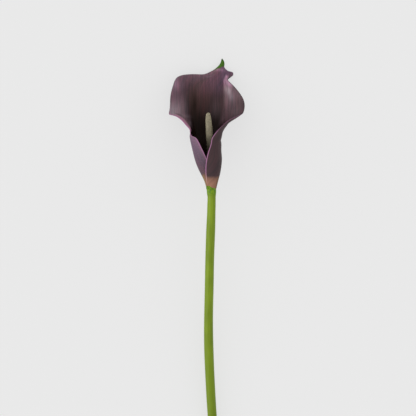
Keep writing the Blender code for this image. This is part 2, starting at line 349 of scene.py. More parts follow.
def new_material(name):
    material = bpy.data.materials.new(name)
    material.use_nodes = True
    return material, material.node_tree, material.node_tree.nodes["Principled BSDF"]


def feed(tree, value, socket):
    """Link a socket to another, or set a plain value on it."""
    if isinstance(value, bpy.types.NodeSocket):
        tree.links.new(value, socket)
    elif value is not None:
        socket.default_value = value


def feed_all(tree, node, values):
    for name, value in values.items():
        feed(tree, value, node.inputs[name])


def attribute(tree, name, output="Fac"):
    node = tree.nodes.new("ShaderNodeAttribute")
    node.attribute_name = name
    return node.outputs[output]


def object_place(tree):
    return tree.nodes.new("ShaderNodeTexCoord").outputs["Object"]


def calc(tree, operation, first, second=None, third=None):
    node = tree.nodes.new("ShaderNodeMath")
    node.operation = operation
    for socket, value in zip(node.inputs, (first, second, third)):
        feed(tree, value, socket)
    return node.outputs["Value"]


def rise(tree, value, low, high, start=0.0, end=1.0):
    """Map low..high smoothly onto start..end."""
    node = tree.nodes.new("ShaderNodeMapRange")
    node.interpolation_type = "SMOOTHSTEP"
    names = ("Value", "From Min", "From Max", "To Min", "To Max")
    feed_all(tree, node, dict(zip(names, (value, low, high, start, end))))
    return node.outputs["Result"]


def mix(tree, share, first, second, mode="MIX"):
    """Mix two colours, each a socket or three numbers."""
    node = tree.nodes.new("ShaderNodeMix")
    node.data_type = "RGBA"
    node.blend_type = mode
    feed(tree, share, node.inputs[0])
    for value, socket in ((first, node.inputs[6]), (second, node.inputs[7])):
        feed(tree, value if isinstance(value, bpy.types.NodeSocket) else (*value, 1.0), socket)
    return node.outputs[2]


def tinted(tree, colour, tint, share=1.0):
    """Multiply a colour by another."""
    return mix(tree, share, colour, tint, "MULTIPLY")


def grey(tree, value):
    node = tree.nodes.new("ShaderNodeCombineColor")
    for socket in node.inputs:
        tree.links.new(value, socket)
    return node.outputs["Color"]


def shaded(tree, colour, value, low, high, start, end):
    """Multiply a colour by start where the value is low, up to end where it is high."""
    return tinted(tree, colour, grey(tree, rise(tree, value, low, high, start, end)))


def dimmed(colour, factor):
    return tuple(factor * channel for channel in colour)


def noise(tree, vector, scale, detail=3.0):
    node = tree.nodes.new("ShaderNodeTexNoise")
    feed_all(tree, node, {"Vector": vector, "Scale": scale, "Detail": detail})
    return node.outputs["Fac"]


def stretched(tree, vector, scale):
    node = tree.nodes.new("ShaderNodeMapping")
    feed_all(tree, node, {"Vector": vector, "Scale": scale})
    return node.outputs["Vector"]


def bumped(tree, height, distance, strength, shader):
    node = tree.nodes.new("ShaderNodeBump")
    feed_all(tree, node, {"Distance": distance, "Strength": strength, "Height": height})
    tree.links.new(node.outputs["Normal"], shader.inputs["Normal"])


def fibres_group():
    """Lengthwise plant fibres: coarse and fine streaks along the organ, as a tone and a relief."""
    found = bpy.data.node_groups.get("plant_fibres")
    if found:
        return found
    group = bpy.data.node_groups.new("plant_fibres", "ShaderNodeTree")
    for name, way, kind in (
        ("Skin", "INPUT", "Vector"),
        ("Coarse", "INPUT", "Float"),
        ("Fine", "INPUT", "Float"),
        ("Tone", "OUTPUT", "Float"),
        ("Relief", "OUTPUT", "Float"),
    ):
        group.interface.new_socket(name, in_out=way, socket_type="NodeSocket" + kind)
    given, made = group.nodes.new("NodeGroupInput"), group.nodes.new("NodeGroupOutput")
    drawn_out = stretched(group, given.outputs["Skin"], (1.0, 0.035, 1.0))
    coarse = noise(group, drawn_out, given.outputs["Coarse"], 2.0)
    fine = noise(group, drawn_out, given.outputs["Fine"], 3.0)
    both = calc(group, "MULTIPLY_ADD", coarse, 0.6, calc(group, "MULTIPLY", fine, 0.4))
    group.links.new(rise(group, both, 0.36, 0.64), made.inputs["Tone"])
    group.links.new(both, made.inputs["Relief"])
    return group


def fibres(tree, skin, coarse, fine):
    node = tree.nodes.new("ShaderNodeGroup")
    node.node_tree = fibres_group()
    feed_all(tree, node, {"Skin": skin, "Coarse": coarse, "Fine": fine})
    return node.outputs["Tone"], node.outputs["Relief"]


# ---------------------------------------------------------------- settings


def colour(name, description, default):
    return FloatVectorProperty(name=name, description=description, subtype="COLOR", default=default)


def number(name, description, default, least):
    return IntProperty(name=name, description=description, default=default, min=least)


def length(name, description, millimetres):
    return FloatProperty(name=name, description=description, default=millimetres * MM, unit="LENGTH")


class CallaSpatheSettings(bpy.types.PropertyGroup):
    columns: number("Columns", "Faces across the leaf", 84, 24)
    rows: number("Rows", "Faces along the leaf", 112, 32)
    thickness: length("Thickness", "Leaf at its foot and midrib", 1.0)
    edge_thickness: length("Edge Thickness", "Leaf at its free edge", 0.6)
    lap_step: length("Lap Step", "How far the roll grows in a full turn", 1.75)
    rib_height: length("Rib Height", "Relief of the lengthwise ribs", 0.07)
    crease: length("Crease", "Depth of the two pleats of the limb", 0.9)
    throat: colour("Throat", "Deep inside the funnel", (0.0090, 0.0030, 0.0014))
    middle: colour("Middle", "Back wall half way up", (0.050, 0.026, 0.026))
    crown: colour("Crown", "Top of the back wall", (0.140, 0.074, 0.102))
    left_lobe: colour("Left Lobe", "Flared left side of the limb", (0.148, 0.084, 0.106))
    right_lobe: colour("Right Lobe", "Flared right side of the limb", (0.150, 0.094, 0.106))
    # painted shade: on the lower right lobe and, dimmed, on the rolled rim
    shade: colour("Shade", "Lower limb and rolled rim", (0.075, 0.044, 0.050))
    # painted sheen: pale patches where the satin of the lobes catches the light
    painted_sheen: colour("Bloom", "Pale waxy patches", (0.350, 0.272, 0.296))
    # painted pink highlights at the crease and along the rim
    painted_highlight: colour("Blush", "Pink patches", (0.510, 0.280, 0.405))
    # painted highlight along the crest where the rim starts to roll
    painted_crest_highlight: colour("Crest", "Light line where the rim starts to roll", (0.230, 0.130, 0.165))
    flush: colour("Flush", "Pink band under the left lobe", (0.250, 0.112, 0.165))
    outside: colour("Outside", "Back of the leaf", (0.058, 0.034, 0.037))
    # left flap: partly its own lighter colour, partly painted sheen of the key light on the left
    flap: colour("Left Flap", "Back of the flap lapped under", (0.155, 0.096, 0.140))
    edge: colour("Edge", "Line along the free edge", (0.360, 0.160, 0.290))
    edge_foot: colour("Edge Foot", "Line along the edge of the foot", (0.470, 0.270, 0.240))
    foot: colour("Foot", "Pale foot of the funnel", (0.300, 0.152, 0.100))
    foot_top: colour("Foot Top", "Upper part of the foot", (0.120, 0.060, 0.055))
    # painted shade: darker sides of the foot where its surface turns away
    foot_left: colour("Foot Left", "Left side of the foot", (0.222, 0.140, 0.066))
    foot_right: colour("Foot Right", "Right side of the foot", (0.150, 0.076, 0.038))
    tip: colour("Tip", "Claw at the tip", (0.058, 0.150, 0.012))
    tip_rim: colour("Tip Rim", "Dark rim of the claw", (0.018, 0.050, 0.006))


class CallaSpadixSettings(bpy.types.PropertyGroup):
    segments: number("Segments", "Faces round the spadix", 120, 24)
    rings: number("Rings", "Faces along the spadix", 380, 40)
    floret_height: length("Floret Height", "How far a floret stands out", 0.16)
    upper_floret: length("Upper Floret", "Spacing of the pollen florets", 0.74)
    lower_floret: length("Lower Floret", "Spacing of the seed florets at the foot", 1.3)
    floret: colour("Florets", "Tops of the florets", (0.280, 0.246, 0.162))
    gap: colour("Gaps", "Between the florets", (0.140, 0.120, 0.080))
    # lower and foot colours: painted shade, darker down in the throat of the funnel
    lower: colour("Lower", "Lower half, in the throat", (0.070, 0.052, 0.030))
    foot: colour("Foot", "Deepest part", (0.024, 0.018, 0.008))


class CallaStemSettings(bpy.types.PropertyGroup):
    sides: number("Sides", "Faces round the stem", 64, 16)
    rings: number("Rings", "Faces along the stem", 260, 40)
    ribs: number("Ribs", "Faint ribs round the stem", 13, 0)
    rib_height: length("Rib Height", "Relief of the ribs", 0.05)
    collar_lip: length("Collar Lip", "How far the collar laps over the foot", 2.7)
    skin: colour("Skin", "Waxy green skin", (0.186, 0.268, 0.012))
    streak: colour("Streaks", "Darker lengthwise streaks", (0.150, 0.222, 0.006))
    lower: colour("Lower", "Skin towards the cut end", (0.125, 0.182, 0.005))
    collar: colour("Collar", "Skin of the collar", (0.175, 0.300, 0.006))
    knots: colour("Knots", "Mottling of the collar", (0.080, 0.180, 0.006))
    cut: colour("Cut", "Pale flesh at the cut end", (0.520, 0.580, 0.260))
    vessels: colour("Vessels", "Dots in the flesh", (0.300, 0.380, 0.110))


class CallaStageSettings(bpy.types.PropertyGroup):
    frame_width: length("Frame Width", "Width that the camera sees", 381.0)
    camera_height: length("Camera Height", "Camera above the foot of the spathe", 2400.0)
    aim: FloatVectorProperty(
        name="Aim",
        description="Middle of the view from the foot of the spathe",
        default=(-3.2 * MM, -17.9 * MM),
        size=2,
        subtype="TRANSLATION",
    )
    floor_radius: length("Floor Radius", "Pale surface", 12000.0)
    floor: colour("Floor", "Pale surface", (0.25, 0.25, 0.25))
    floor_glow: FloatProperty(
        name="Floor Glow", description="Light that comes up through the surface", default=0.605
    )
    room: FloatProperty(name="Room Light", description="Even light of the room", default=0.85)
    key: FloatProperty(name="Key Light", description="Soft light from the left", default=16.0, unit="POWER")
    key_size: length("Key Size", "Side of the key light", 1200.0)


# ---------------------------------------------------------------- materials


def spathe_material(settings):
    """Satin leaf: its two sides, their texture, then the pale foot, the pink edge and the green claw."""
    material, tree, shader = new_material("spathe_leaf")
    skin = attribute(tree, "skin", "Vector")
    height, rim, outside, flap = (attribute(tree, name) for name in ("height", "rim", "outside", "flap"))
    tone, relief = fibres(tree, skin, 0.60, 2.4)
    powder = noise(tree, skin, 3.0, 2.0)
    # the back of the left flap: partly its own colour, partly painted sheen, stronger higher up
    lit = calc(tree, "MULTIPLY", flap, rise(tree, height, 10.0, 46.0, 0.25, 1.0))
    back = mix(tree, lit, settings.outside, settings.flap)
    hue = mix(tree, outside, spathe_inside(tree, settings, height), back)
    hue = spathe_texture(tree, hue, skin, tone, outside, flap)
    hue = shaded(tree, hue, powder, 0.3, 0.7, 0.86, 1.14)
    hue = spathe_foot(tree, settings, hue, height, tone, flap)
    hue = spathe_edge(tree, settings, hue, height, rim, outside)
    green = mix(tree, tone, dimmed(settings.tip, 0.65), settings.tip)
    green = mix(tree, rise(tree, rim, 0.2, 1.8, 0.8, 0.0), green, settings.tip_rim)
    hue = mix(tree, attribute(tree, "claw"), hue, green)
    satin = calc(tree, "MAXIMUM", outside, rise(tree, height, 66.0, 92.0))
    finish = {
        "Base Color": hue,
        "Roughness": rise(tree, powder, 0.3, 0.7, 0.50, 0.62),
        "Coat Weight": calc(tree, "MULTIPLY", satin, rise(tree, powder, 0.3, 0.7, 0.04, 0.10)),
        "Coat Roughness": 0.38,
        "Coat IOR": 1.45,
        "Specular IOR Level": 0.10,
    }
    feed_all(tree, shader, finish)
    bumped(tree, relief, 0.25 * MM, 0.55, shader)
    return material


def spathe_inside(tree, settings, height):
    """Dark below and purple above, with lighter lobes, painted shade, painted sheen and pink highlights, a
    painted highlight on the crest and painted shade on the rolled rim.
    """
    hue = mix(tree, rise(tree, height, 60.0, 84.0), settings.throat, settings.middle)
    hue = mix(tree, rise(tree, height, 80.0, 108.0), hue, settings.crown)
    warmth = mix(tree, attribute(tree, "brown"), (1.06, 0.94, 0.92), (0.93, 0.97, 0.82))
    warmth = mix(tree, attribute(tree, "violet"), warmth, (1.00, 1.04, 1.16))
    hue = tinted(tree, hue, warmth)
    # the right lobe: painted shade low down, its lighter colour higher up
    right_lobe = mix(tree, rise(tree, height, 68.0, 84.0), settings.shade, settings.right_lobe)
    for mark, laid_on in (
        ("left_lobe", settings.left_lobe),
        ("right_lobe", right_lobe),
        ("painted_shade", settings.throat),
        ("painted_sheen", settings.painted_sheen),
        ("painted_highlight", settings.painted_highlight),
        ("painted_crest_highlight", settings.painted_crest_highlight),
        ("rolled", dimmed(settings.shade, 0.3)),
    ):
        hue = mix(tree, attribute(tree, mark), hue, laid_on)
    return hue


def spathe_texture(tree, hue, skin, tone, outside, flap):
    """Streaks and clouds all over, straight veins on the inside, specks on the left flap."""
    hue = tinted(tree, hue, mix(tree, tone, (0.86, 0.95, 0.94), (1.15, 1.02, 1.06)))
    vein, _ = fibres(tree, stretched(tree, object_place(tree), (1 / MM, 1 / MM, 0.0)), 0.95, 2.6)
    veins = mix(tree, vein, (0.78, 0.84, 0.82), (1.18, 1.13, 1.16))
    hue = tinted(tree, hue, veins, calc(tree, "SUBTRACT", 1.0, outside))
    blotches = noise(tree, stretched(tree, skin, (1.0, 0.3, 1.0)), 0.09)
    clouds = mix(tree, rise(tree, blotches, 0.35, 0.65), (0.88, 0.92, 0.94), (1.12, 1.08, 1.06))
    hue = tinted(tree, hue, clouds)
    specks = grey(tree, rise(tree, noise(tree, skin, 1.3, 2.0), 0.35, 0.65, 0.80, 1.22))
    return tinted(tree, hue, specks, calc(tree, "MULTIPLY", outside, flap))


def spathe_foot(tree, settings, hue, height, tone, flap):
    """The pale foot, duller at its top and with painted shade down its two sides, where the surface turns
    away.
    """
    pale = mix(tree, tone, dimmed(settings.foot, 0.84), dimmed(settings.foot, 1.06))
    pale = mix(tree, rise(tree, height, 4.0, 12.0, 0.0, 0.6), pale, settings.foot_top)
    # painted shade down the sides of the foot
    side = mix(tree, flap, settings.foot_right, settings.foot_left)
    pale = mix(tree, attribute(tree, "painted_side_shade"), pale, side)
    return mix(tree, attribute(tree, "foot"), hue, pale)


def spathe_edge(tree, settings, hue, height, rim, outside):
    """The pink band under the left lobe, and the pink line of the edge, which fades as it climbs the limb."""
    flush = calc(tree, "MULTIPLY", attribute(tree, "lip"), rise(tree, rim, 1.6, 3.4, 0.85, 0.0))
    hue = mix(tree, flush, hue, settings.flush)
    line = calc(tree, "MULTIPLY", rise(tree, rim, 0.5, 1.1, 0.9, 0.0), rise(tree, height, 3.0, 9.0))
    inner = rise(tree, height, 64.0, 72.0, 1.0, 0.12)
    outer = rise(tree, height, 48.0, 56.0, 1.0, 0.12)
    fading = calc(tree, "MULTIPLY_ADD", outside, calc(tree, "SUBTRACT", outer, inner), inner)
    pink = mix(tree, rise(tree, height, 8.0, 16.0), settings.edge_foot, settings.edge)
    return mix(tree, calc(tree, "MULTIPLY", line, fading), hue, pink)


def spadix_material(settings):
    """Matt beaded spike: pale floret tops, darker gaps, painted shade down in the throat, painted light on
    its right side, left edge and tip.
    """
    material, tree, shader = new_material("spadix_florets")
    along = attribute(tree, "along")
    place = object_place(tree)
    dust = noise(tree, place, 900.0, 2.0)
    patches = noise(tree, place, 140.0, 2.0)
    axes = tree.nodes.new("ShaderNodeSeparateXYZ")
    tree.links.new(place, axes.inputs["Vector"])
    across = axes.outputs["X"]
    hue = mix(tree, rise(tree, attribute(tree, "floret"), 0.0, 0.85), settings.gap, settings.floret)
    # painted shade: darker down in the throat of the funnel
    hue = mix(tree, rise(tree, along, 34.0, 66.0, 0.50, 0.0), hue, settings.lower)
    hue = mix(tree, rise(tree, along, 30.0, 46.0, 0.90, 0.0), hue, settings.foot)
    for value, low, high, start, end in (
        # painted light: its right side lighter
        (across, 1.2 * MM, 4.4 * MM, 0.90, 1.42),
        # painted highlight on its very left edge
        (across, -1.0 * MM, 1.0 * MM, 1.30, 1.0),
        # painted highlight on the rounded tip
        (along, 62.5, 65.0, 1.0, 1.40),
        (dust, 0.3, 0.7, 0.80, 1.20),
        (patches, 0.3, 0.7, 0.84, 1.14),
    ):
        hue = shaded(tree, hue, value, low, high, start, end)
    feed_all(tree, shader, {"Base Color": hue, "Roughness": rise(tree, dust, 0.3, 0.7, 0.62, 0.82)})
    bumped(tree, dust, 0.08 * MM, 0.5, shader)
    return material


def stem_material(settings):
    """Waxy green skin with lengthwise streaks, a mottled collar and pale flesh at the cut end."""
    material, tree, shader = new_material("stem_skin")
    skin = attribute(tree, "skin", "Vector")
    along = attribute(tree, "along")
    tone, relief = fibres(tree, skin, 0.9, 3.2)
    hue = mix(tree, tone, settings.streak, settings.skin)
    patches = noise(tree, stretched(tree, skin, (1.0, 0.4, 1.0)), 0.16)
    hue = shaded(tree, hue, patches, 0.3, 0.7, 0.90, 1.10)
    hue = mix(tree, rise(tree, along, 60.0, 300.0, 0.0, 0.8), hue, settings.lower)
    hue = mix(tree, rise(tree, along, 2.5, 6.0, 0.8, 0.0), hue, settings.collar)
    knots = rise(tree, noise(tree, skin, 0.8, 3.0), 0.40, 0.60)
    knots = calc(tree, "MULTIPLY", rise(tree, along, 3.0, 7.0, 1.0, 0.0), knots)
    hue = mix(tree, knots, hue, settings.knots)
    vessels = tree.nodes.new("ShaderNodeTexVoronoi")
    feed_all(tree, vessels, {"Vector": skin, "Scale": 1.15})
    dots = rise(tree, vessels.outputs["Distance"], 0.12, 0.30)
    hue = mix(tree, attribute(tree, "flesh"), hue, mix(tree, dots, settings.vessels, settings.cut))
    waxy = rise(tree, relief, 0.35, 0.65, 0.34, 0.50)
    feed_all(tree, shader, {"Base Color": hue, "Roughness": waxy, "Specular IOR Level": 0.22})
    bumped(tree, relief, 0.15 * MM, 0.45, shader)
    return material


def floor_material(settings):
    """Plain matt pale surface with a barely seen unevenness."""
    material, tree, shader = new_material("pale_surface")
    clouds = noise(tree, object_place(tree), 3.0, 2.0)
    hue = mix(tree, clouds, dimmed(settings.floor, 0.992), settings.floor)
    glow = {"Emission Color": (1.0, 1.0, 1.0, 1.0), "Emission Strength": settings.floor_glow}
    feed_all(tree, shader, {"Base Color": hue, "Roughness": 0.9, "Specular IOR Level": 0.0, **glow})
    return material


# ---------------------------------------------------------------- pieces


class CALLA_OT_add_stem(bpy.types.Operator):
    """Add the stem: a faintly ribbed round stalk with a lumpy collar at its top and a dished cut end"""

    bl_idname = "calla.add_stem"
    bl_label = "Stem"

    def execute(self, context):
        settings = context.scene.calla_stem
        cylinder = {"vertices": settings.sides, "radius": COLUMN_RADIUS, "depth": 2.0}
        stem = start_piece("stem_stalk", bpy.ops.mesh.primitive_cylinder_add, **cylinder)
        self.cut_rings(stem, settings)
        self.inset_ends(stem)
        self.sweep(stem, settings)
        finish_piece(stem, "stem", stem_material(settings))
        return {"FINISHED"}

    def cut_rings(self, stem, settings):
        """Cut the long sides into rings, from -1 at the cut end to 1 under the spathe."""
        bpy.ops.object.mode_set(mode="EDIT")
        shape = bmesh.from_edit_mesh(stem.data)
        upright = [e for e in shape.edges if abs(e.verts[0].co.z - e.verts[1].co.z) > 1.0]
        bpy.ops.mesh.select_all(action="DESELECT")
        for edge in upright:
            edge.select_set(True)
        bmesh.update_edit_mesh(stem.data)
        bpy.ops.mesh.subdivide(number_cuts=settings.rings - 1)

    def inset_ends(self, stem):
        """Inset both end faces in steps, so that they can be rounded over and dished."""
        for _ in range(END_STEPS):
            shape = bmesh.from_edit_mesh(stem.data)
            bpy.ops.mesh.select_all(action="DESELECT")
            bpy.ops.mesh.select_mode(type="FACE")
            for face in shape.faces:
                face.select_set(len(face.verts) > 4)
            bmesh.update_edit_mesh(stem.data)
            bpy.ops.mesh.inset(thickness=0.5 * MM, depth=0.0)
        bpy.ops.object.mode_set(mode="OBJECT")

    def sweep(self, stem, settings):
        """Carry the straight column onto the stem's centre line, with its ribs, collar and cut."""
        column = read_points(stem.data)
        angle = np.arctan2(column[:, 1], column[:, 0])
        share = np.hypot(column[:, 0], column[:, 1]) / COLUMN_RADIUS
        path = np.array(STEM)
        stations = covered(path[:, :3])
        along = (1.0 - column[:, 2]) / 2.0 * stations[-1]
        spine = smooth_curve(stations, path, along)
        forward, sideways, upwards = self.directions(stations, path, along)
        lip = settings.collar_lip / MM * ramp(np.sin(angle + LIP_TURN), 0.42, 0.85)
        lip += 0.20 * np.sin(5 * angle) + 0.12 * np.sin(9 * angle)
        spine[:, :3] -= forward * (lip * ramp(along, 4.0, 0.0))[:, None]
        rounding = 0.35 * (1 - np.sqrt(1 - (1 - np.clip(along / 0.6, 0, 1)) ** 2))
        cut_rounding = 0.30 * ramp(along, stations[-1] - 1.6, stations[-1]) ** 2
        radius = spine[:, 3] + self.unevenness(angle, along, settings) - rounding - cut_rounding
        lapping = ramp(np.sin(angle + LIP_TURN), 0.30, 0.65) * ramp(along, 3.2, 1.2)
        centre, over_foot = self.foot_outline(spine[:, 1], angle)
        radius += (over_foot - 0.5 * rounding - radius) * lapping
        spine[:, 0] += (centre - spine[:, 0]) * lapping
        across = radius * share * np.cos(angle)
        upward = radius * share * np.sin(angle)
        dish = np.where(column[:, 2] < 0, CUT_DISH, 0.0) * (1 - share**2) * (share < 0.999)
        points = spine[:, :3] + across[:, None] * sideways
        points += upward[:, None] * upwards - dish[:, None] * forward
        place_points(stem.data, points)
        at_cut = (column[:, 2] < -0.999) & (share < FLESH_SHARE)
        set_attribute(stem.data, "skin", np.stack([across, along, upward], axis=1))
        set_attribute(stem.data, "along", along)
        set_attribute(stem.data, "flesh", at_cut.astype(float))

    def directions(self, stations, path, along):
        """Unit vectors at each point of the centre line: forward, sideways and upwards."""
        ahead = smooth_curve(stations, path, np.minimum(along + 0.05, stations[-1]))
        behind = smooth_curve(stations, path, np.maximum(along - 0.05, 0.0))
        forward = unit((ahead - behind)[:, :3])
        sideways = unit(np.cross(forward, (0.0, 0.0, 1.0)))
        return forward, sideways, np.cross(sideways, forward)

    def unevenness(self, angle, along, settings):
        """What the ribs and swelling of the stalk and the lumps and knob of its collar add, in mm."""
        drift = 0.35 * np.sin(along / 47.0)
        ribs = settings.rib_height / MM * np.cos(settings.ribs * (angle + 0.15 * drift))
        ribs *= 0.6 + 0.4 * np.sin(3 * angle + along / 31.0)
        swell = 0.05 * np.sin(along / 23.0 + 1.1) + 0.03 * np.sin(along / 9.7)
        lumps = 0.14 * np.sin(5 * angle + 0.7) + 0.10 * np.sin(8 * angle + 2.0)
        lumps += 0.06 * np.sin(13 * angle)
        knob_angle, knob_place = KNOB
        knob = 0.75 * np.exp(-(((angle - knob_angle) / 0.28) ** 2) - (along - knob_place) ** 2)
        return ribs + swell * ramp(along, 20.0, 50.0) + lumps * ramp(along, 5.5, 0.6) + knob

    def foot_outline(self, heights, angle):
        """Centre and radius of a lip that hugs the foot of the spathe from outside, in mm."""
        knots, centres, radii = np.array(FUNNEL).T
        circles = np.stack([centres, radii], axis=1)
        funnel = smooth_curve(knots, circles, np.clip(heights, -1.0, 8.0))
        growth = bpy.context.scene.calla_spathe.lap_step / MM * ramp(heights, -9.0, 9.0)
        return funnel[:, 0], funnel[:, 1] + growth * (0.75 - angle / (2 * math.pi)) + LIP_STAND


class CALLA_OT_add_spadix(bpy.types.Operator):
    """Add the spadix: a slightly leaning spike, set all over with florets in a spiral"""

    bl_idname = "calla.add_spadix"
    bl_label = "Spadix"

    def execute(self, context):
        settings = context.scene.calla_spadix
        faces = {"segments": settings.segments, "ring_count": settings.rings}
        spadix = start_piece("spadix_spike", bpy.ops.mesh.primitive_uv_sphere_add, radius=1.0, **faces)
        ball = read_points(spadix.data)
        angle = np.arctan2(ball[:, 1], ball[:, 0])
        along = (1.0 - np.arccos(np.clip(ball[:, 2], -1, 1)) / math.pi) * SPADIX[-1][0]
        points, normals = self.spike(along, angle, settings.floret_height / MM)
        floret = self.florets(points, settings)
        points += normals * (floret * settings.floret_height / MM)[:, None]
        points -= normals * self.dimple(points)[:, None]
        place_points(spadix.data, points)
        set_attribute(spadix.data, "floret", floret)
        set_attribute(spadix.data, "along", along)
        finish_piece(spadix, "spadix", spadix_material(settings))
        return {"FINISHED"}

    def spike(self, along, angle, inset=0.0):
        """Points and outward normals of the plain spike, in mm, its sides set in by a little."""
        stations, centres, radii = np.array(SPADIX).T
        line = smooth_curve(stations, np.stack([centres, radii], axis=1), along)
        radius = np.maximum(line[:, 1] - inset, 0.0)
        radius *= np.sqrt(np.clip((stations[-1] - along) / 0.4, 0, 1))
        radius *= np.sqrt(np.clip(along / 0.3, 0, 1))
        across = line[:, 0] + radius * np.cos(angle)
        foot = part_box("spadix")[0].y / MM - foot_place()[1]
        points = np.stack([across, foot + along, radius * np.sin(angle)], axis=1)
        samples = np.linspace(0, stations[-1], 200)
        slope = np.gradient(smooth_curve(stations, radii, samples), samples[1])
        tilt = -np.interp(along, samples, slope)
        return points, unit(np.stack([np.cos(angle), tilt, np.sin(angle)], axis=1))

    def florets(self, points, settings):
        """How high each point stands on its nearest floret, from 0 in the gaps to 1 on top."""
        stations, _, radii = np.array(SPADIX).T
        golden = math.pi * (3 - math.sqrt(5))
        heights, spacings = [], []
        at = 0.3
        while at < stations[-1]:
            spacing = float(np.interp(at, (17.0, 22.0), (settings.lower_floret, settings.upper_floret))) / MM
            radius = max(float(np.interp(at, stations, radii)), 0.3)
            heights.append(at)
            spacings.append(spacing)
            at += 0.866 * spacing**2 / (2 * math.pi * radius)
        places, _ = self.spike(np.array(heights), golden * np.arange(len(heights)))
        tree = KDTree(len(places))
        for i, place in enumerate(places.tolist()):
            tree.insert(place, i)
        tree.balance()
        standing = np.zeros(len(points))
        for i, point in enumerate(points.tolist()):
            _, nearest, distance = tree.find(point)
            reach = distance / (0.58 * spacings[nearest])
            standing[i] = math.sqrt(max(0.0, 1.0 - reach * reach))
        return standing

    def dimple(self, points):
        """The small dent near the rounded end, on its upper side."""
        middle = (points[:, 0].min() + points[:, 0].max()) / 2
        dent = points[:, 1].max() - 2.9
        distance = np.hypot(points[:, 0] - middle, points[:, 1] - dent)
        return np.where(points[:, 2] > 0, 0.35 * ramp(distance, 0.9, 0.1), 0.0)


